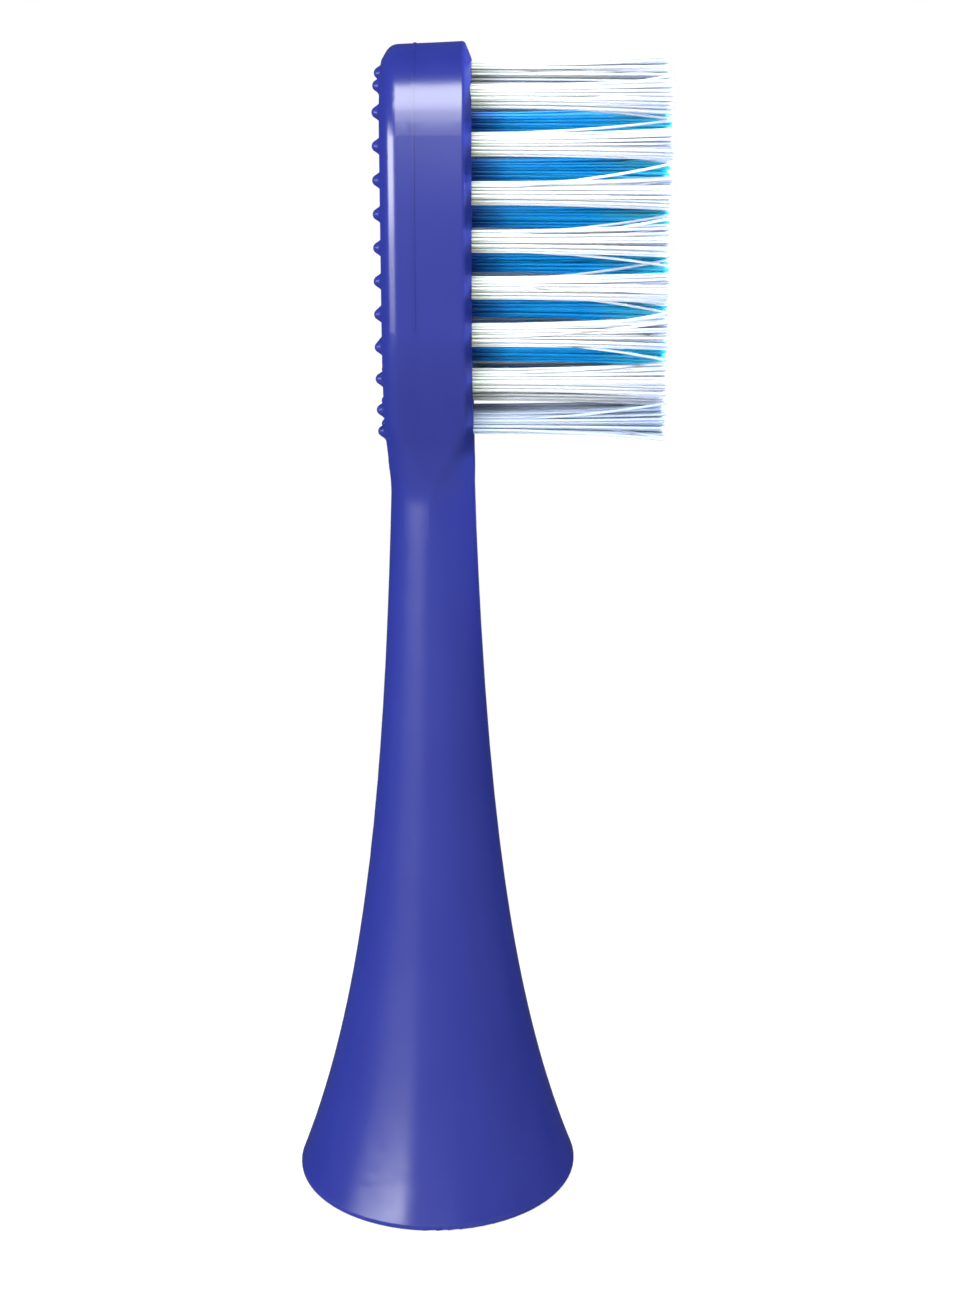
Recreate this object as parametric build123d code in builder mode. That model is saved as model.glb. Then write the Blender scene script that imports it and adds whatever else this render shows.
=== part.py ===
from build123d import *
import os
from math import asin, cos, exp, pi, radians, sin, sqrt, tan

# Electric toothbrush head: one hollow moulding that pushes onto a drive shaft, with nylon tufts
# stapled into one side of its head and rows of soft nubs on the other.
# Millimetres. The origin is the middle of the rim, +Z runs up to the tip, and +X is where the
# bristles point.

# Bell and neck, round about Z
HEIGHT = 66.7
RIM_RADIUS = 8.5
RIM_BAND = 0.4
RIM_EDGE_RADIUS = 0.3
NECK_RADIUS = 2.4
NECK_LEAD = 2.0
FLARE_LENGTH = 17.6

# Head: a slab with drafted sides, bevelled edges and a half-round tip
HEAD_LENGTH = 24.7
HEAD_HALF_WIDTH = 5.1
HEAD_FRONT = 2.25
HEAD_BACK = 2.6
HEAD_DRAFT = 2.5
SHOULDER_LENGTH = 9.5
FRONT_BEVEL_DEPTH = 0.38
FRONT_BEVEL_WIDTH = 0.93
BACK_BEVEL_DEPTH = 0.48
BACK_BEVEL_WIDTH = 0.75
BACK_EDGE_RADIUS = 0.8
BEVEL_EDGE_RADIUS = 0.22
BEVEL_BLEND_LENGTH = 5.0

# Hollow of the bell, and the keyed socket for the drive shaft
BELL_WALL = 1.3
CAVITY_DEPTH = 16.0
SOCKET_RADIUS = 1.8
SOCKET_LENGTH = 15.0
SOCKET_LEAD_IN = 0.4
KEYWAY_WIDTH = 0.8
KEYWAY_DEPTH = 0.45

# Tufts, each folded round a flat staple at the bottom of its hole
TUFT_RADIUS = 0.66
TUFT_TIP_RADIUS = 0.94
TUFT_FREE_LENGTH = 10.8
TUFT_HOLE_DEPTH = 3.2
TUFT_HOLE_CLEARANCE = 0.03
FOLD_THICKNESS = 0.4
ANCHOR_BITE = 0.26
ANCHOR_HEIGHT = 1.2
ANCHOR_THICKNESS = 0.28

# Layout of the tufts: gaps from their spread tips to the outline, and between the tips of a row
OUTER_ROW_MARGIN = 0.71
OUTER_ROW_GAP = 0.55
INNER_ROW_GAP = 0.45
TIP_MARGIN = 0.63
TIP_STEP = 1.27
INNER_ROW_DROP = 0.2
HEEL_GAP = 0.05
HEEL_RISE = 0.25

# Nubs on the back, and the fine ridge where the two halves of the mould met
NUB_HEIGHT = 0.42
NUB_TIP_RADIUS = 0.3
NUB_FLANK_ANGLE = 56
NUB_FOOT_CURVE = 0.4
NUB_FOOT_ANGLE = 15
NUB_SINK = 0.05
NUB_ROOT = 0.3
NUB_MARGIN = 0.08
NUB_PITCH = 1.75
NUB_FIRST_DROP = 0.48
NUB_HEEL_RISE = 4.5
NUB_HEEL_PITCH = 1.25
RIDGE_BACK = 0.8
RIDGE_WIDTH = 0.14
RIDGE_HEIGHT = 0.04

# Levels and sizes that follow from those above
NECK_HEIGHT = HEIGHT - HEAD_LENGTH
NECK_START = NECK_HEIGHT - NECK_LEAD
ARCH_HEIGHT = HEIGHT - HEAD_HALF_WIDTH
SHOULDER_HEIGHT = NECK_HEIGHT + SHOULDER_LENGTH
SOCKET_TOP = CAVITY_DEPTH + SOCKET_LENGTH
HOLE_RADIUS = TUFT_RADIUS + TUFT_HOLE_CLEARANCE
ANCHOR_LENGTH = 2 * (HOLE_RADIUS + ANCHOR_BITE)
OUTER_ROW_INSET = TUFT_TIP_RADIUS + OUTER_ROW_MARGIN
INNER_ROW_OFFSET = (HEAD_HALF_WIDTH - OUTER_ROW_INSET) / 3
NECK_BEVEL = NECK_RADIUS * (1 - tan(radians(22.5)))

# How finely the curved outlines are drawn, and how far a cut starts outside what it cuts
FLARE_STEPS = 9
NECK_STEPS = 4
SHOULDER_STEPS = 8
NECK_SIDE_ANGLE = 8
OVERCUT = 1.0


def flare(height):
    """Falls from 1 at the top of the rim's band towards 0 up the neck."""
    return exp((RIM_BAND - height) / FLARE_LENGTH)


def bell_radius(height):
    """Outside radius of the bell above that band, which ends at the radius of the neck."""
    share = (flare(height) - flare(NECK_HEIGHT)) / (1 - flare(NECK_HEIGHT))
    return NECK_RADIUS + (RIM_RADIUS - NECK_RADIUS) * share


def blend(neck_size, head_size, height, length=SHOULDER_LENGTH):
    """A size that changes from the neck's to the head's over a length, smoothly at both ends."""
    rise = min(max((height - NECK_HEIGHT) / length, 0), 1)
    return neck_size + (head_size - neck_size) * rise * rise * (3 - 2 * rise)


def bevel(head_size, height):
    """Depth or width of a bevel, which starts at the neck as one side of an octagon round it."""
    return blend(NECK_BEVEL, head_size, height, BEVEL_BLEND_LENGTH)


def half_width(height):
    """Half the width of the head, which ends in a half-round tip."""
    if height > ARCH_HEIGHT:
        return sqrt(HEAD_HALF_WIDTH**2 - (height - ARCH_HEIGHT) ** 2)
    return blend(NECK_RADIUS, HEAD_HALF_WIDTH, height)


def shoulder_level(width):
    """Height on the shoulder where the head has that half width."""
    share = (width - NECK_RADIUS) / (HEAD_HALF_WIDTH - NECK_RADIUS)
    return NECK_HEIGHT + SHOULDER_LENGTH * (0.5 - sin(asin(1 - 2 * share) / 3))


def side_width(level, height):
    """Half the width of the drafted sides, at a level from HEAD_FRONT at the face to -HEAD_BACK."""
    return half_width(height) - (HEAD_FRONT - level) * tan(blend(0, radians(HEAD_DRAFT), height))


def back_level(height):
    """Distance of the head's back from the middle of the brush."""
    return blend(NECK_RADIUS, HEAD_BACK, height, BEVEL_BLEND_LENGTH)


def back_flat(height):
    """Half the width of the flat between the bevels of the back."""
    return side_width(-back_level(height), height) - bevel(BACK_BEVEL_WIDTH, height)


def neck_section(height):
    """Round cross-section of the neck, in arcs for the eight sides and corners of the head's own."""
    arcs = []
    for side in range(8):
        middle, turn = (0, 0, height), 45 * side - NECK_SIDE_ANGLE / 2
        arcs.append(CenterArc(middle, bell_radius(height), turn, NECK_SIDE_ANGLE))
        arcs.append(CenterArc(middle, bell_radius(height), turn + NECK_SIDE_ANGLE, 45 - NECK_SIDE_ANGLE))
    return Face(Wire(arcs))


def head_section(height):
    """Cross-section of the head: four sides with bevels between them, and rounded corners."""
    front, back = blend(NECK_RADIUS, HEAD_FRONT, height), -back_level(height)
    front_edge = front - bevel(FRONT_BEVEL_DEPTH, height)
    back_edge = back + bevel(BACK_BEVEL_DEPTH, height)
    corners = [
        (front, half_width(height) - bevel(FRONT_BEVEL_WIDTH, height)),
        (front_edge, side_width(front_edge, height)),
        (back_edge, side_width(back_edge, height)),
        (back, back_flat(height)),
    ]
    corners += [(level, -across) for level, across in reversed(corners)]
    with BuildSketch(Plane.XY.offset(height)) as section:
        with BuildLine():
            Polyline(*corners, close=True)
        make_face()
        crisp = blend(NECK_RADIUS, BEVEL_EDGE_RADIUS, height, BEVEL_BLEND_LENGTH)
        soft = blend(NECK_RADIUS, BACK_EDGE_RADIUS, height, BEVEL_BLEND_LENGTH)
        back_corners = section.vertices().sort_by(Axis.X)[:2]
        side_corners = section.vertices().sort_by(Axis.X)[2:4]
        front_corners = section.vertices().sort_by(Axis.X)[4:]
        fillet(back_corners + front_corners, crisp)
        fillet([section.vertices().sort_by_distance(corner)[0] for corner in side_corners], soft)
    return section.sketch


def row_heights(top, bottom, gap):
    """Even heights of a row of tufts, as many as leave at least that gap between their tips."""
    steps = int((top - bottom) / (2 * TUFT_TIP_RADIUS + gap))
    return [top - (top - bottom) * step / steps for step in range(steps + 1)]


# Sections of the upper neck and the shoulder, which run on into each other without a crease: those of
# the neck are closest where they leave the turned bell, to follow its slope there
neck_sections = []
for step in range(NECK_STEPS + 1):
    rise = NECK_LEAD * step * (step + 1) / (NECK_STEPS * (NECK_STEPS + 1))
    neck_sections.append(neck_section(NECK_START + rise))
shoulder_step = SHOULDER_LENGTH / SHOULDER_STEPS
shoulder_levels = [NECK_HEIGHT + shoulder_step * step for step in range(1, SHOULDER_STEPS + 1)]

# Heights of the tufts: the inner rows start at the tip, and both kinds end at the heel, where the
# head is just wide enough for the last three side by side
tip_reach = HEAD_HALF_WIDTH - TUFT_TIP_RADIUS - TIP_MARGIN
tip_height = ARCH_HEIGHT + sqrt(tip_reach**2 - INNER_ROW_OFFSET**2)
heel_offset = 2 * TUFT_TIP_RADIUS + HEEL_GAP
heel_height = shoulder_level(heel_offset + OUTER_ROW_INSET)
inner_heel_height = heel_height + sqrt(heel_offset**2 - (heel_offset - INNER_ROW_OFFSET) ** 2)
outer_heights = row_heights(tip_height - TIP_STEP, heel_height, OUTER_ROW_GAP)
inner_heights = row_heights(tip_height, inner_heel_height, INNER_ROW_GAP)

# Every tuft: its name, its place across the head and its height
tufts = [("heel_tuft_middle", 0, heel_height + HEEL_RISE)]
for side, sign in (("left", -1), ("right", 1)):
    for row, height in enumerate(outer_heights, start=1):
        across = half_width(height) - OUTER_ROW_INSET
        tufts.append((f"white_tuft_{side}_{row}", sign * across, height))
    for row, height in enumerate(inner_heights[1:-1], start=1):
        tufts.append((f"blue_tuft_{side}_{row}", sign * INNER_ROW_OFFSET, height - INNER_ROW_DROP))
    tufts.append((f"tip_tuft_{side}", sign * INNER_ROW_OFFSET, tip_height))
    tufts.append((f"heel_tuft_{side}", sign * INNER_ROW_OFFSET, inner_heel_height))
tuft_places = [(across, height) for name, across, height in tufts]

# The bristle face, with x across the head and y up the brush, and the level that the staples stand on
bristle_face = Plane((HEAD_FRONT, 0, 0), x_dir=(0, 1, 0), z_dir=(1, 0, 0))
anchor_seat = bristle_face.offset(FOLD_THICKNESS - TUFT_HOLE_DEPTH)

# Profile of a nub: a dome, a straight flank and a hollow foot that runs out into the back
flank, foot_lean = radians(NUB_FLANK_ANGLE), radians(NUB_FOOT_ANGLE)
brow = (NUB_TIP_RADIUS * sin(flank), NUB_HEIGHT - NUB_TIP_RADIUS * (1 - cos(flank)))
foot_top = NUB_FOOT_CURVE * (cos(foot_lean) - cos(flank)) - NUB_SINK
foot_start = (brow[0] + (brow[1] - foot_top) / tan(flank), foot_top)
foot_centre = (foot_start[0] + NUB_FOOT_CURVE * sin(flank), foot_start[1] + NUB_FOOT_CURVE * cos(flank))
nub_radius = foot_centre[0] - NUB_FOOT_CURVE * sin(foot_lean)

# Every nub: its place across the back and its height, in rows along the edges, round the tip and
# down the middle of the straight part
nub_reach = back_flat(ARCH_HEIGHT) - nub_radius - NUB_MARGIN
nub_top = ARCH_HEIGHT - NUB_FIRST_DROP
nub_rows = int((nub_top - NECK_HEIGHT - NUB_HEEL_RISE) / NUB_PITCH) + 1
edge_heights = [nub_top - row * NUB_PITCH for row in range(nub_rows)]
middle_heights = [height for height in edge_heights if height > SHOULDER_HEIGHT - NUB_PITCH]
edge_heights.append(edge_heights[-1] - NUB_HEEL_PITCH)
arch_nub_count = int((pi / 2 * nub_reach + NUB_FIRST_DROP) / NUB_PITCH)
nub_places = [(0, height) for height in middle_heights]
for sign in (-1, 1):
    for height in edge_heights:
        nub_places.append((sign * (back_flat(height) - nub_radius - NUB_MARGIN), height))
    for height in middle_heights:
        nub_places.append((sign * nub_reach / 2, height))
    for step in range(1, arch_nub_count + 1):
        turn = (step * NUB_PITCH - NUB_FIRST_DROP) / nub_reach
        nub_places.append((sign * nub_reach * cos(turn), ARCH_HEIGHT + nub_reach * sin(turn)))
nub_planes = []
for across, height in nub_places:
    nub_planes.append(Plane((-back_level(height), across, height), z_dir=(-1, 0, 0)))

os.makedirs("parts", exist_ok=True)

# One nub, which the body takes up at each of those planes
with BuildPart() as nub:
    with BuildSketch(Plane.XZ):
        with BuildLine():
            dome_centre = (0, NUB_HEIGHT - NUB_TIP_RADIUS)
            dome = CenterArc(dome_centre, NUB_TIP_RADIUS, 90 - NUB_FLANK_ANGLE, NUB_FLANK_ANGLE)
            turn_in = NUB_FLANK_ANGLE - NUB_FOOT_ANGLE
            foot = CenterArc(foot_centre, NUB_FOOT_CURVE, 270 - NUB_FLANK_ANGLE, turn_in)
            Line(dome @ 0, foot @ 0)
            Polyline(foot @ 1, (nub_radius, -NUB_ROOT), (0, -NUB_ROOT), dome @ 1)
        make_face()
    revolve(axis=Axis.Z)

# Body: turned bell and neck, lofted shoulder, straight head and turned tip, all one moulding
with BuildPart() as brush_body:
    with BuildSketch(Plane.XZ):
        with BuildLine():
            flare_step = (NECK_START - RIM_BAND) / FLARE_STEPS
            flare_levels = [RIM_BAND + flare_step * step for step in range(FLARE_STEPS + 1)]
            outside = Spline(*[(bell_radius(level), level) for level in flare_levels])
            Polyline(outside @ 1, (0, NECK_START), (0, 0), (RIM_RADIUS, 0), outside @ 0)
        make_face()
    revolve(axis=Axis.Z)

    loft([*neck_sections, *[head_section(level) for level in shoulder_levels]])
    extrude(head_section(SHOULDER_HEIGHT), amount=ARCH_HEIGHT - SHOULDER_HEIGHT)
    half_head = split(head_section(ARCH_HEIGHT), bisect_by=Plane.XZ, keep=Keep.BOTTOM, mode=Mode.PRIVATE)
    revolve(half_head, axis=Axis((0, 0, ARCH_HEIGHT), (1, 0, 0)), revolution_arc=180)

    # Ridge round the tip and down the straight sides of the head
    with BuildSketch(Plane((-RIDGE_BACK, 0, 0), x_dir=(0, 1, 0), z_dir=(1, 0, 0))):
        with BuildLine():
            ridge_reach = side_width(-RIDGE_BACK, ARCH_HEIGHT) + RIDGE_HEIGHT
            ridge_top = CenterArc((0, ARCH_HEIGHT), ridge_reach, 0, 180)
            left_end, right_end = (-ridge_reach, SHOULDER_HEIGHT), (ridge_reach, SHOULDER_HEIGHT)
            Polyline(ridge_top @ 1, left_end, right_end, ridge_top @ 0)
        make_face()
    extrude(amount=RIDGE_WIDTH / 2, both=True)

    with Locations(*nub_planes):
        add(nub.part)

    # Hollow of the bell, which follows its outside, and the socket above it
    with BuildSketch(Plane.XZ):
        with BuildLine():
            hollow_step = (CAVITY_DEPTH - RIM_BAND) / FLARE_STEPS
            hollow_levels = [RIM_BAND + hollow_step * step for step in range(FLARE_STEPS + 1)]
            hollow = Spline(*[(bell_radius(level) - BELL_WALL, level) for level in hollow_levels])
            lead_in = (SOCKET_RADIUS + SOCKET_LEAD_IN, CAVITY_DEPTH)
            socket_mouth = (SOCKET_RADIUS, CAVITY_DEPTH + SOCKET_LEAD_IN)
            socket_end = (SOCKET_RADIUS, SOCKET_TOP)
            Polyline(hollow @ 1, lead_in, socket_mouth, socket_end, (0, SOCKET_TOP), (0, 0),
                     (RIM_RADIUS - BELL_WALL, 0), hollow @ 0)
        make_face()
    revolve(axis=Axis.Z, mode=Mode.SUBTRACT)
    with BuildSketch(Plane.XY.offset(CAVITY_DEPTH)):
        Rectangle(SOCKET_RADIUS + KEYWAY_DEPTH, KEYWAY_WIDTH, align=(Align.MAX, Align.CENTER))
    extrude(amount=SOCKET_LENGTH, mode=Mode.SUBTRACT)

    # Tuft holes, and the seats that the staples press for themselves
    with BuildSketch(bristle_face.offset(OVERCUT)):
        with Locations(*tuft_places):
            Circle(HOLE_RADIUS)
    extrude(amount=-TUFT_HOLE_DEPTH - OVERCUT, mode=Mode.SUBTRACT)
    with BuildSketch(anchor_seat):
        with Locations(*tuft_places):
            Rectangle(ANCHOR_THICKNESS, ANCHOR_LENGTH)
    extrude(amount=ANCHOR_HEIGHT, mode=Mode.SUBTRACT)

    rim = brush_body.faces().sort_by(Axis.Z)[0]
    fillet(rim.outer_wire().edges(), RIM_EDGE_RADIUS)

brush_body.part.label = "brush_body"
export_step(brush_body.part, "parts/brush_body.step")

# Tufts: each bundle is straight in its hole, spreads above the face, and is slit by its staple
for name, across, height in tufts:
    with BuildPart() as tuft:
        with BuildSketch(Plane((HEAD_FRONT, across, height), x_dir=(1, 0, 0), z_dir=(0, -1, 0))):
            with BuildLine():
                root, tip = (0, TUFT_RADIUS), (TUFT_FREE_LENGTH, TUFT_TIP_RADIUS)
                tip_slope = (TUFT_FREE_LENGTH, 2 * (TUFT_TIP_RADIUS - TUFT_RADIUS))
                Spline(root, tip, tangents=[(1, 0), tip_slope])
                hole_end = (-TUFT_HOLE_DEPTH, TUFT_RADIUS)
                Polyline(tip, (TUFT_FREE_LENGTH, 0), (-TUFT_HOLE_DEPTH, 0), hole_end, root)
            make_face()
        revolve(axis=Axis((0, across, height), (1, 0, 0)))
        with BuildSketch(anchor_seat):
            with Locations((across, height)):
                Rectangle(ANCHOR_THICKNESS, ANCHOR_LENGTH)
        extrude(amount=ANCHOR_HEIGHT, mode=Mode.SUBTRACT)
    tuft.part.label = name
    export_step(tuft.part, f"parts/{name}.step")

# Staples: one flat piece of wire for each tuft, standing across its hole and biting into both sides
with BuildPart() as tuft_anchors:
    with BuildSketch(anchor_seat):
        with Locations(*tuft_places):
            Rectangle(ANCHOR_THICKNESS, ANCHOR_LENGTH)
    extrude(amount=ANCHOR_HEIGHT)
tuft_anchors.part.label = "tuft_anchors"
export_step(tuft_anchors.part, "parts/tuft_anchors.step")
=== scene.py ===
import math

import bpy
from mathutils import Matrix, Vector


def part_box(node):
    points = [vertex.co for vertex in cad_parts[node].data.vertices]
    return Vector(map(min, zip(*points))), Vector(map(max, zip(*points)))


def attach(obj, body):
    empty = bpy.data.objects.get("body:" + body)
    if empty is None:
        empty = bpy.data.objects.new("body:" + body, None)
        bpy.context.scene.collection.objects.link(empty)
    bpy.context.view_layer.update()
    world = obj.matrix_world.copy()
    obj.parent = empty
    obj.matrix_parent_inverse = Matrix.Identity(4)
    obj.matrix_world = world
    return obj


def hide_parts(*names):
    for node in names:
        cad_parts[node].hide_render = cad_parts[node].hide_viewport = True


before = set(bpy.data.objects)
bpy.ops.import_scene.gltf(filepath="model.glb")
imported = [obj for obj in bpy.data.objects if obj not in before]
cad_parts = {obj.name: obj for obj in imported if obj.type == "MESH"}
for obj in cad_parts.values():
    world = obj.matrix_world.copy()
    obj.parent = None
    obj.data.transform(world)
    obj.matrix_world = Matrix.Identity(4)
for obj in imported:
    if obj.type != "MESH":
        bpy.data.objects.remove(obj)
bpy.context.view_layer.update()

# Body: bell, neck and head are one injection moulding in blue polypropylene with a satin, slightly
# waxy skin. The shot fills from the rim upwards, so faint flow streaks run along it, and handling
# has rubbed the rim and the tops of the nubs a little paler and smoother.


def feed(tree, node, values):
    """Links a node's inputs to sockets, or fills them with plain values."""
    for name, value in values.items():
        if isinstance(value, bpy.types.NodeSocket):
            tree.links.new(value, node.inputs[name])
        else:
            node.inputs[name].default_value = value


def place(tree, kind, values=None, **settings):
    """Adds a node with its settings, and feeds its inputs."""
    node = tree.nodes.new(kind)
    for name, value in settings.items():
        setattr(node, name, value)
    feed(tree, node, values or {})
    return node


def finish_of(name):
    """New material with an empty tree, its shader and its output."""
    material = bpy.data.materials.new(name)
    material.use_nodes = True
    tree = material.node_tree
    tree.nodes.clear()
    shader = place(tree, "ShaderNodeBsdfPrincipled")
    place(tree, "ShaderNodeOutputMaterial", {"Surface": shader.outputs[0]})
    return material, tree, shader


def millimetres(tree, stretch=(1, 1, 1)):
    """Object coordinates in millimetres, stretched along an axis for grain with a direction."""
    spot = place(tree, "ShaderNodeTexCoord").outputs["Object"]
    scale = tuple(1000 * share for share in stretch)
    return place(tree, "ShaderNodeMapping", {"Vector": spot, "Scale": scale}).outputs[0]


def noise(tree, scale, detail, stretch=(1, 1, 1)):
    """Soft noise from 0 to 1, with so many waves to the millimetre."""
    values = {"Vector": millimetres(tree, stretch), "Scale": scale, "Detail": detail}
    return place(tree, "ShaderNodeTexNoise", values).outputs[0]


body_plastic, tree, shader = finish_of("body_plastic")
cloud = noise(tree, scale=0.16, detail=1.5)
streaks = noise(tree, scale=0.9, detail=1.0, stretch=(1, 1, 0.05))
grain = noise(tree, scale=3.0, detail=0.5)
sink = noise(tree, scale=0.7, detail=0.0)
where = place(tree, "ShaderNodeSeparateXYZ", {"Vector": millimetres(tree)}).outputs


def sum_up(tree, operation, *values):
    """One step of arithmetic on plain numbers or on sockets."""
    numbered = dict(enumerate(values))
    return place(tree, "ShaderNodeMath", numbered, operation=operation).outputs[0]


def spread(tree, value, low, high, out_low=0.0, out_high=1.0):
    """Stretches a range of values to another one, and holds it at both ends."""
    values = {"Value": value, "From Min": low, "From Max": high,
              "To Min": out_low, "To Max": out_high}
    return place(tree, "ShaderNodeMapRange", values).outputs[0]


# Rubbed places, in millimetres: the nubs' tops, above the level where the head begins, and the rim
HEAD_FOOT = (43.0, 45.0)
NUB_TOPS = (-2.88, -3.02)
RIM_EDGE = (0.55, 0.05)
on_head = spread(tree, where["Z"], *HEAD_FOOT)
nub_rub = sum_up(tree, "MULTIPLY", on_head, spread(tree, where["X"], *NUB_TOPS))
rim_rub = spread(tree, where["Z"], *RIM_EDGE)
rub = sum_up(tree, "MULTIPLY", sum_up(tree, "MAXIMUM", nub_rub, rim_rub), grain)


def paint(red, green, blue):
    """Linear colour from the values that a colour picker shows."""
    channels = []
    for value in (red, green, blue):
        share = value / 255
        channels.append(share / 12.92 if share <= 0.04045 else ((share + 0.055) / 1.055) ** 2.4)
    return (*channels, 1.0)


def between(tree, share, first, second):
    """Mixes two colours, whose sockets are the node's seventh and eighth."""
    values = {0: share, 6: first, 7: second}
    return place(tree, "ShaderNodeMix", values, data_type="RGBA").outputs[2]


DEEP_BLUE, PALE_BLUE, RUBBED_BLUE = paint(22, 28, 88), paint(28, 35, 99), paint(84, 92, 170)
CLOUD_SHARE, STREAK_SHARE = 0.55, 0.45
RUB_TINT = 0.22
tone = sum_up(tree, "ADD", sum_up(tree, "MULTIPLY", cloud, CLOUD_SHARE),
              sum_up(tree, "MULTIPLY", streaks, STREAK_SHARE))
colour = between(tree, tone, DEEP_BLUE, PALE_BLUE)
colour = between(tree, sum_up(tree, "MULTIPLY", rub, RUB_TINT), colour, RUBBED_BLUE)

SATIN = (0.22, 0.265)
RUB_POLISH = 0.02
rough = spread(tree, cloud, 0.0, 1.0, *SATIN)
rough = sum_up(tree, "SUBTRACT", rough, sum_up(tree, "MULTIPLY", rub, RUB_POLISH))

# Above this level, in millimetres, the light falls on the head's sides as if they drew in a little,
# and all over, the skin is faintly uneven where the plastic shrank
DRAW_IN_LEVEL = 56.0
DRAW_IN = -0.0065
MILLIMETRE = 0.001
SINK_DEPTH = 0.00002
rise = sum_up(tree, "MAXIMUM", sum_up(tree, "SUBTRACT", where["Z"], DRAW_IN_LEVEL), 0.0)
draw_in = sum_up(tree, "MULTIPLY", sum_up(tree, "POWER", rise, 2.0), DRAW_IN)
bow = place(tree, "ShaderNodeBump", {"Strength": 1.0, "Distance": MILLIMETRE, "Height": draw_in})
skin = place(tree, "ShaderNodeBump", {"Strength": 0.3, "Distance": SINK_DEPTH, "Height": sink,
                                      "Normal": bow.outputs[0]})

# Seen edge on, the waxy skin scatters more than it mirrors, so it loses gloss there
EDGE_ON = (0.18, 0.5)
GLOSS = (0.5, 0.03)
turned = place(tree, "ShaderNodeLayerWeight", {"Blend": 0.5}).outputs["Facing"]
feed(tree, shader, {"Base Color": colour, "Roughness": rough, "Normal": skin.outputs[0],
                    "IOR": 1.49, "Specular IOR Level": spread(tree, turned, *EDGE_ON, *GLOSS)})


def dress(node, material):
    """Gives a CAD node its finish, and leaves its mesh as it is."""
    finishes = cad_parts[node].data.materials
    finishes.clear()
    finishes.append(material)


dress("brush_body", body_plastic)

# Staples: short lengths of flat drawn nickel-brass wire, one for each tuft. A tufting machine
# chops them off and drives them into the holes on edge, with the folded filaments below them.
WIRE_BRASS, WIRE_PALE = paint(196, 182, 132), paint(222, 210, 168)
WIRE_ROUGHNESS = (0.22, 0.4)
WIRE_SCORES = 0.00001
NOISE_MIDDLE = (0.3, 0.7)

anchor_metal, tree, shader = finish_of("anchor_metal")
drawn = noise(tree, scale=22.0, detail=4.0, stretch=(1, 1, 0.08))
stain = noise(tree, scale=2.0, detail=3.0)
scores = place(tree, "ShaderNodeBump",
               {"Strength": 0.3, "Distance": WIRE_SCORES, "Height": drawn}).outputs[0]
feed(tree, shader, {"Base Color": between(tree, stain, WIRE_BRASS, WIRE_PALE),
                    "Roughness": spread(tree, drawn, *NOISE_MIDDLE, *WIRE_ROUGHNESS),
                    "Normal": scores, "Metallic": 1.0})
dress("tuft_anchors", anchor_metal)

# Tufts: bundles of round nylon filament with rounded ends, folded round their staples. They leave
# the hole side by side, spread towards the trimmed tips, and a few cross over to their neighbours.
# Lengths are in metres, and levels run along X, away from the axis of the neck.
FILAMENTS = 52
FILAMENT_RADIUS = 0.000078
HOLE_RADIUS = 0.00066
SPREAD_RADIUS = 0.00094
ROOT_LEVEL = 0.00070
FACE_LEVEL = 0.00225
TIP_LEVEL = 0.01303
UNEVEN_TRIM = 0.0003
LEAN = 0.00012
STRAY_SHARE = 0.12
STRAY_LEAN = 0.0010
FIRST_SEED, NEXT_SEED = 17, 31

bundle = bpy.data.node_groups.new("bristle_bundle", "GeometryNodeTree")
bundle.interface.new_socket("Geometry", in_out="OUTPUT", socket_type="NodeSocketGeometry")
for kind, names in (
        ("Int", ("Filaments", "Seed")),
        ("Vector", ("Middle",)),
        ("Float", ("Hole Radius", "Spread Radius", "Filament Radius", "Root Level", "Face Level",
                   "Tip Level", "Uneven Trim", "Lean", "Stray Share", "Stray Lean", "Painted Heel Shade")),
        ("Material", ("Nylon",))):
    for name in names:
        bundle.interface.new_socket(name, in_out="INPUT", socket_type="NodeSocket" + kind)
given = place(bundle, "NodeGroupInput").outputs
index = place(bundle, "GeometryNodeInputIndex").outputs[0]


def plus(first, second):
    """Sum of two values for each filament."""
    return sum_up(bundle, "ADD", first, second)


def minus(first, second):
    """Difference of two values for each filament."""
    return sum_up(bundle, "SUBTRACT", first, second)


def times(first, second):
    """Product of two values for each filament."""
    return sum_up(bundle, "MULTIPLY", first, second)


def over(first, second):
    """Quotient of two values for each filament."""
    return sum_up(bundle, "DIVIDE", first, second)


def by_chance(low, high, draw):
    """A number for each filament, from the tuft's own seed."""
    values = {2: low, 3: high, "ID": index, "Seed": plus(given["Seed"], draw)}
    return place(bundle, "FunctionNodeRandomValue", values, data_type="FLOAT").outputs[1]


def keep(geometry, name, value):
    """Stores a value on the geometry under a name."""
    node = place(bundle, "GeometryNodeStoreNamedAttribute", {"Geometry": geometry, "Name": name},
                 data_type="FLOAT", domain="POINT")
    bundle.links.new(value, [socket for socket in node.inputs if socket.enabled][-1])
    return node.outputs[0]


def kept(name):
    """Reads such a value back."""
    node = place(bundle, "GeometryNodeInputNamedAttribute", {"Name": name}, data_type="FLOAT")
    return [socket for socket in node.outputs if socket.enabled][0]


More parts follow.
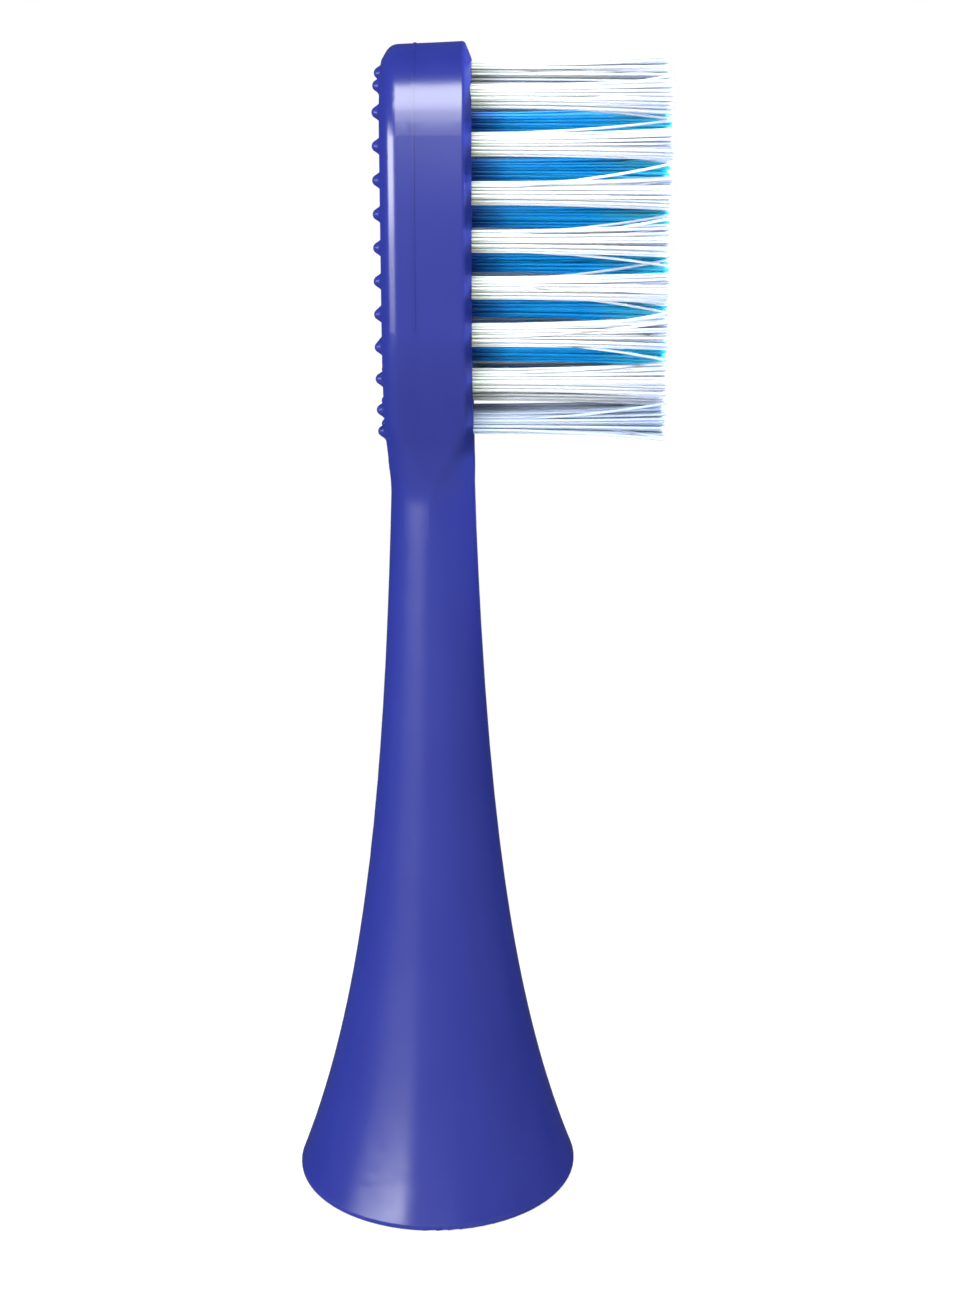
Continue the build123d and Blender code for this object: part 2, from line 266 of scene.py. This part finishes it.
# Filaments pack the hole evenly: each turns on from the last by the golden angle
GOLDEN_ANGLE = 2.39996
PACKING = (0.2, 0.8)
PACKED, STRAYED, LEANT_ACROSS, LEANT_UPWARD, TRIMMED, TINTED = range(1, 7)
share = over(plus(index, by_chance(*PACKING, PACKED)), given["Filaments"])
reach = sum_up(bundle, "SQRT", share)
turn = plus(times(index, GOLDEN_ANGLE), given["Seed"])
stray = sum_up(bundle, "LESS_THAN", by_chance(0.0, 1.0, STRAYED), given["Stray Share"])
lean = plus(given["Lean"], times(stray, given["Stray Lean"]))
points = place(bundle, "GeometryNodePoints", {"Count": given["Filaments"]}).outputs[0]
points = keep(points, "across", times(reach, sum_up(bundle, "COSINE", turn)))
points = keep(points, "upward", times(reach, sum_up(bundle, "SINE", turn)))
points = keep(points, "lean_across", times(lean, by_chance(-1.0, 1.0, LEANT_ACROSS)))
points = keep(points, "lean_upward", times(lean, by_chance(-1.0, 1.0, LEANT_UPWARD)))
points = keep(points, "short", times(given["Uneven Trim"], by_chance(0.0, 1.0, TRIMMED)))
points = keep(points, "tint", by_chance(0.0, 1.0, TINTED))
# Painted heel shade: how much grey-lavender stands in for shade on this tuft
points = keep(points, "painted_heel_shade", given["Painted Heel Shade"])

# One straight line for each, whose points crowd towards the rounded end
LINE_POINTS = 9
CROWDING = 3.0
line = place(bundle, "GeometryNodeCurvePrimitiveLine", {"Start": (0, 0, 0), "End": (1, 0, 0)})
line = place(bundle, "GeometryNodeResampleCurve",
             {"Curve": line.outputs[0], "Count": LINE_POINTS}).outputs[0]
lines = place(bundle, "GeometryNodeInstanceOnPoints", {"Points": points, "Instance": line})
lines = place(bundle, "GeometryNodeRealizeInstances", {"Geometry": lines.outputs[0]}).outputs[0]
spot = place(bundle, "GeometryNodeInputPosition").outputs[0]
step = place(bundle, "ShaderNodeSeparateXYZ", {"Vector": spot}).outputs["X"]
lines = keep(lines, "along", minus(1.0, sum_up(bundle, "POWER", minus(1.0, step), CROWDING)))

# Above the bristle face each line bends away from the middle of its tuft, and by its own lean
end = minus(given["Tip Level"], kept("short"))
level = plus(given["Root Level"], times(kept("along"), minus(end, given["Root Level"])))
free = over(minus(level, given["Face Level"]), minus(given["Tip Level"], given["Face Level"]))
free = sum_up(bundle, "MAXIMUM", free, 0.0)
bend = times(free, free)
opened = times(bend, minus(given["Spread Radius"], given["Hole Radius"]))
radius = plus(minus(given["Hole Radius"], given["Filament Radius"]), opened)
across = plus(times(kept("across"), radius), times(kept("lean_across"), bend))
upward = plus(times(kept("upward"), radius), times(kept("lean_upward"), bend))
seat = place(bundle, "ShaderNodeCombineXYZ", {"X": level, "Y": across, "Z": upward}).outputs[0]
lines = place(bundle, "GeometryNodeSetPosition",
              {"Geometry": lines, "Position": seat, "Offset": given["Middle"]}).outputs[0]

# Round section, closed ends, the last ring drawn in
RING_SIDES = 6
ROUNDED_FROM, ROUNDED_END = 0.9975, 0.5
ring = place(bundle, "GeometryNodeCurvePrimitiveCircle",
             {"Resolution": RING_SIDES, "Radius": given["Filament Radius"]}).outputs[0]
rounded = spread(bundle, kept("along"), ROUNDED_FROM, 1.0, 1.0, ROUNDED_END)
tubes = place(bundle, "GeometryNodeCurveToMesh",
              {"Curve": lines, "Profile Curve": ring, "Scale": rounded, "Fill Caps": True})
tubes = place(bundle, "GeometryNodeSetShadeSmooth", {"Geometry": tubes.outputs[0]})
tubes = place(bundle, "GeometryNodeRealizeInstances", {"Geometry": tubes.outputs[0]})
tubes = place(bundle, "GeometryNodeSetMaterial",
              {"Geometry": tubes.outputs[0], "Material": given["Nylon"]})
place(bundle, "NodeGroupOutput", {"Geometry": tubes.outputs[0]})

# Nylon: clear filament coloured in the melt. The colour is darker towards the roots, which is
# painted shade where light can't reach them, each filament is a shade off the next, and the tufts at
# the heel get a grey-lavender tint, which is painted shade from the tufts above. The fades are
# levels in millimetres.
PAINTED_HEEL_SHADE = paint(128, 146, 176)
HEEL_SHADE_SHARE = 0.7
ROOT_SHADE_FADE, TIP_FADE = (2.2, 4.2), (8.5, 12.9)
NYLON_ROUGHNESS = (0.26, 0.46)

filament_tone = bpy.data.node_groups.new("filament_tone", "ShaderNodeTree")
for name, way, kind in (
        ("Root", "INPUT", "Color"), ("Middle", "INPUT", "Color"), ("Tip", "INPUT", "Color"),
        ("Tip Shade", "INPUT", "Color"), ("Difference", "INPUT", "Float"),
        ("Colour", "OUTPUT", "Color"), ("Roughness", "OUTPUT", "Float")):
    filament_tone.interface.new_socket(name, in_out=way, socket_type="NodeSocket" + kind)
tree = filament_tone
asked = place(tree, "NodeGroupInput").outputs
along = place(tree, "ShaderNodeSeparateXYZ", {"Vector": millimetres(tree)}).outputs["X"]
tint = place(tree, "ShaderNodeAttribute", attribute_name="tint").outputs["Fac"]
# Painted shade: the colour darkens towards the roots, and the heel tufts take grey-lavender
clear = place(tree, "ShaderNodeAttribute", attribute_name="painted_heel_shade").outputs["Fac"]
shade = between(tree, spread(tree, along, *ROOT_SHADE_FADE), asked["Root"], asked["Middle"])
tip_shade = between(tree, tint, asked["Tip"], asked["Tip Shade"])
shade = between(tree, spread(tree, along, *TIP_FADE), shade, tip_shade)
shade = between(tree, clear, shade, PAINTED_HEEL_SHADE)
darker = sum_up(tree, "MULTIPLY", tint, asked["Difference"])
shade = place(tree, "ShaderNodeHueSaturation",
              {"Color": shade, "Value": sum_up(tree, "SUBTRACT", 1.0, darker)}).outputs[0]
wear = noise(tree, scale=6.0, detail=3.0, stretch=(0.15, 1, 1))
place(tree, "NodeGroupOutput",
      {"Colour": shade, "Roughness": spread(tree, wear, *NOISE_MIDDLE, *NYLON_ROUGHNESS)})

nylons = {}
# The Root colours are painted shade where light can't reach the roots
for name, tones in (
        ("white_nylon", {"Root": paint(156, 164, 154), "Middle": paint(185, 191, 196),
                         "Tip": paint(177, 186, 199), "Tip Shade": paint(145, 155, 190),
                         "Difference": 0.08}),
        ("blue_nylon", {"Root": paint(1, 62, 134), "Middle": paint(2, 146, 226),
                        "Tip": paint(24, 168, 202), "Tip Shade": paint(80, 186, 208),
                        "Difference": 0.12})):
    nylons[name], tree, shader = finish_of(name)
    tone = place(tree, "ShaderNodeGroup", tones, node_tree=filament_tone).outputs
    feed(tree, shader, {"Base Color": tone["Colour"], "Roughness": tone["Roughness"],
                        "IOR": 1.53, "Specular IOR Level": 0.3, "Subsurface Weight": 0.8,
                        "Subsurface Radius": (1, 1, 1), "Subsurface Scale": 0.0004})

# Each bundle takes its tuft's place, and those that begin below this height stand at the heel,
# where they take the painted heel shade
HEEL_TOP = 0.0464
tufts = sorted(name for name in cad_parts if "_tuft_" in name)
for number, name in enumerate(tufts):
    slot = "blue_nylon" if name.startswith("blue_") else "white_nylon"
    low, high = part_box(name)
    sizes = {"Filaments": FILAMENTS, "Seed": FIRST_SEED + NEXT_SEED * number,
             "Middle": (0.0, (low.y + high.y) / 2, (low.z + high.z) / 2),
             "Hole Radius": HOLE_RADIUS, "Spread Radius": SPREAD_RADIUS,
             "Filament Radius": FILAMENT_RADIUS, "Root Level": ROOT_LEVEL,
             "Face Level": FACE_LEVEL, "Tip Level": TIP_LEVEL, "Uneven Trim": UNEVEN_TRIM,
             "Lean": LEAN, "Stray Share": STRAY_SHARE, "Stray Lean": STRAY_LEAN,
             "Painted Heel Shade": HEEL_SHADE_SHARE if low.z < HEEL_TOP else 0.0, "Nylon": nylons[slot]}
    maker = bpy.data.objects.new("maker", bpy.data.meshes.new("maker"))
    bpy.context.scene.collection.objects.link(maker)
    modifier = maker.modifiers.new("bundle", "NODES")
    modifier.node_group = bundle
    for item in bundle.interface.items_tree:
        if item.in_out == "INPUT":
            modifier[item.identifier] = sizes[item.name]
    made = maker.evaluated_get(bpy.context.evaluated_depsgraph_get())
    piece = bpy.data.objects.new(name + "_filaments", bpy.data.meshes.new_from_object(made))
    bpy.data.objects.remove(maker)
    bpy.context.scene.collection.objects.link(piece)
    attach(piece, "root")
    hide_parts(name)

# Table: a plain sheet of pale card under the rim, wide enough to fill the view. It is lit until it
# is white, and only the soft shadow near the rim is left, which fades out between two distances in
# millimetres.
TABLE_RADIUS = 2.0
TABLE_CORNERS = 72
CARD_GREY, CARD_PALE = paint(226, 226, 226), paint(232, 232, 232)
SHADOW_REACH = (12.0, 45.0)
LIT_AT_RIM = 0.7
WHITE = (1, 1, 1, 1)

turns = [math.tau * corner / TABLE_CORNERS for corner in range(TABLE_CORNERS)]
corners = [(TABLE_RADIUS * math.cos(turn), TABLE_RADIUS * math.sin(turn), 0.0) for turn in turns]
table_mesh = bpy.data.meshes.new("table")
table_mesh.from_pydata(corners, [], [tuple(range(TABLE_CORNERS))])
table = bpy.data.objects.new("table", table_mesh)
bpy.context.scene.collection.objects.link(table)
pale_card, tree, shader = finish_of("pale_card")
fibre = noise(tree, scale=1.2, detail=5.0)
feed(tree, shader, {"Base Color": between(tree, fibre, CARD_GREY, CARD_PALE), "Roughness": 0.9})
away = place(tree, "ShaderNodeVectorMath", {"Vector": millimetres(tree)}, operation="LENGTH")
lit = spread(tree, away.outputs["Value"], *SHADOW_REACH, LIT_AT_RIM, 1.0)
direct = place(tree, "ShaderNodeLightPath").outputs["Is Camera Ray"]
glow = place(tree, "ShaderNodeEmission", {"Color": WHITE, "Strength": 1.0}).outputs[0]
both = place(tree, "ShaderNodeMixShader",
             {0: sum_up(tree, "MULTIPLY", lit, direct), 1: shader.outputs[0], 2: glow})
feed(tree, tree.nodes["Material Output"], {"Surface": both.outputs[0]})
table_mesh.materials.append(pale_card)
table.visible_glossy = False

# Lights: soft boxes, as in a product studio. Four stand on the camera's side and draw the
# highlights, and three fills, which no reflection shows, lighten the bristle tips, the right side
# and the back. Lengths are in metres, angles in degrees and powers in watts.


def softbox(name, aim_height, azimuth, elevation, distance, width, height, power):
    """An area light that looks at the axis. Azimuth 0 is the camera's side, and turns right."""
    light = bpy.data.lights.new(name, "AREA")
    light.shape = "RECTANGLE"
    light.size, light.size_y = width, height
    light.energy = power
    lamp = bpy.data.objects.new(name, light)
    bearing, lift = math.radians(azimuth), math.radians(elevation)
    way = Vector((math.sin(bearing) * math.cos(lift), -math.cos(bearing) * math.cos(lift),
                  math.sin(lift)))
    lamp.location = Vector((0, 0, aim_height)) + way * distance
    lamp.rotation_euler = way.to_track_quat("Z", "Y").to_euler()
    bpy.context.scene.collection.objects.link(lamp)
    return lamp


softbox("key", aim_height=0.06, azimuth=-4, elevation=60, distance=0.50,
        width=0.32, height=0.27, power=4.4)
softbox("front", aim_height=0.055, azimuth=0, elevation=36, distance=0.50,
        width=0.24, height=0.18, power=1.2)
softbox("low_front", aim_height=0.055, azimuth=2, elevation=17, distance=0.50,
        width=0.20, height=0.14, power=0.3)
softbox("left", aim_height=0.01, azimuth=-47, elevation=15, distance=0.40,
        width=0.32, height=0.12, power=2.4)
tip_fill = softbox("tip_fill", aim_height=0.060, azimuth=96, elevation=6, distance=0.30,
                   width=0.03, height=0.03, power=0.016)
right_fill = softbox("right_fill", aim_height=0.04, azimuth=95, elevation=20, distance=0.50,
                     width=0.30, height=0.30, power=1.3)
back_fill = softbox("back_fill", aim_height=0.04, azimuth=185, elevation=30, distance=0.50,
                    width=0.30, height=0.30, power=2.4)
TIP_FILL_ANGLE = 8
tip_fill.data.spread = math.radians(TIP_FILL_ANGLE)
for fill in (tip_fill, right_fill, back_fill):
    fill.visible_glossy = False

# Room: even white light from all round, kept dim in reflections so that the plastic stays deep blue.
# The camera sees it as plain white paper.
ROOM_LIGHT, MIRRORED_LESS = 0.42, 0.32

studio = bpy.data.worlds.new("studio")
bpy.context.scene.world = studio
studio.use_nodes = True
tree = studio.node_tree
tree.nodes.clear()
ray = place(tree, "ShaderNodeLightPath").outputs
dimmed = sum_up(tree, "MULTIPLY", ray["Is Glossy Ray"], MIRRORED_LESS)
strength = sum_up(tree, "SUBTRACT", ROOM_LIGHT, dimmed)
room = place(tree, "ShaderNodeBackground", {"Color": WHITE, "Strength": strength}).outputs[0]
paper = place(tree, "ShaderNodeBackground", {"Color": WHITE, "Strength": 1.0}).outputs[0]
both = place(tree, "ShaderNodeMixShader", {0: ray["Is Camera Ray"], 1: room, 2: paper})
place(tree, "ShaderNodeOutputWorld", {"Surface": both.outputs[0]})

# Camera: close to one side of the head, with the bristles to the right, and looking down a little on
# to the rim, as in the photo. The place is in metres and the tilt in degrees.
CAMERA_PLACE = (0.0031, -0.1024, 0.0582)
CAMERA_TILT = 13.9

view = bpy.data.cameras.new("photo_view")
view.lens = 50.0
view.sensor_width = 36.0
view.clip_start = 0.005
camera = bpy.data.objects.new("photo_view", view)
camera.location = CAMERA_PLACE
camera.rotation_euler = (math.radians(90 - CAMERA_TILT), 0, 0)
bpy.context.scene.collection.objects.link(camera)
bpy.context.scene.camera = camera
bpy.context.scene.view_settings.view_transform = "Standard"
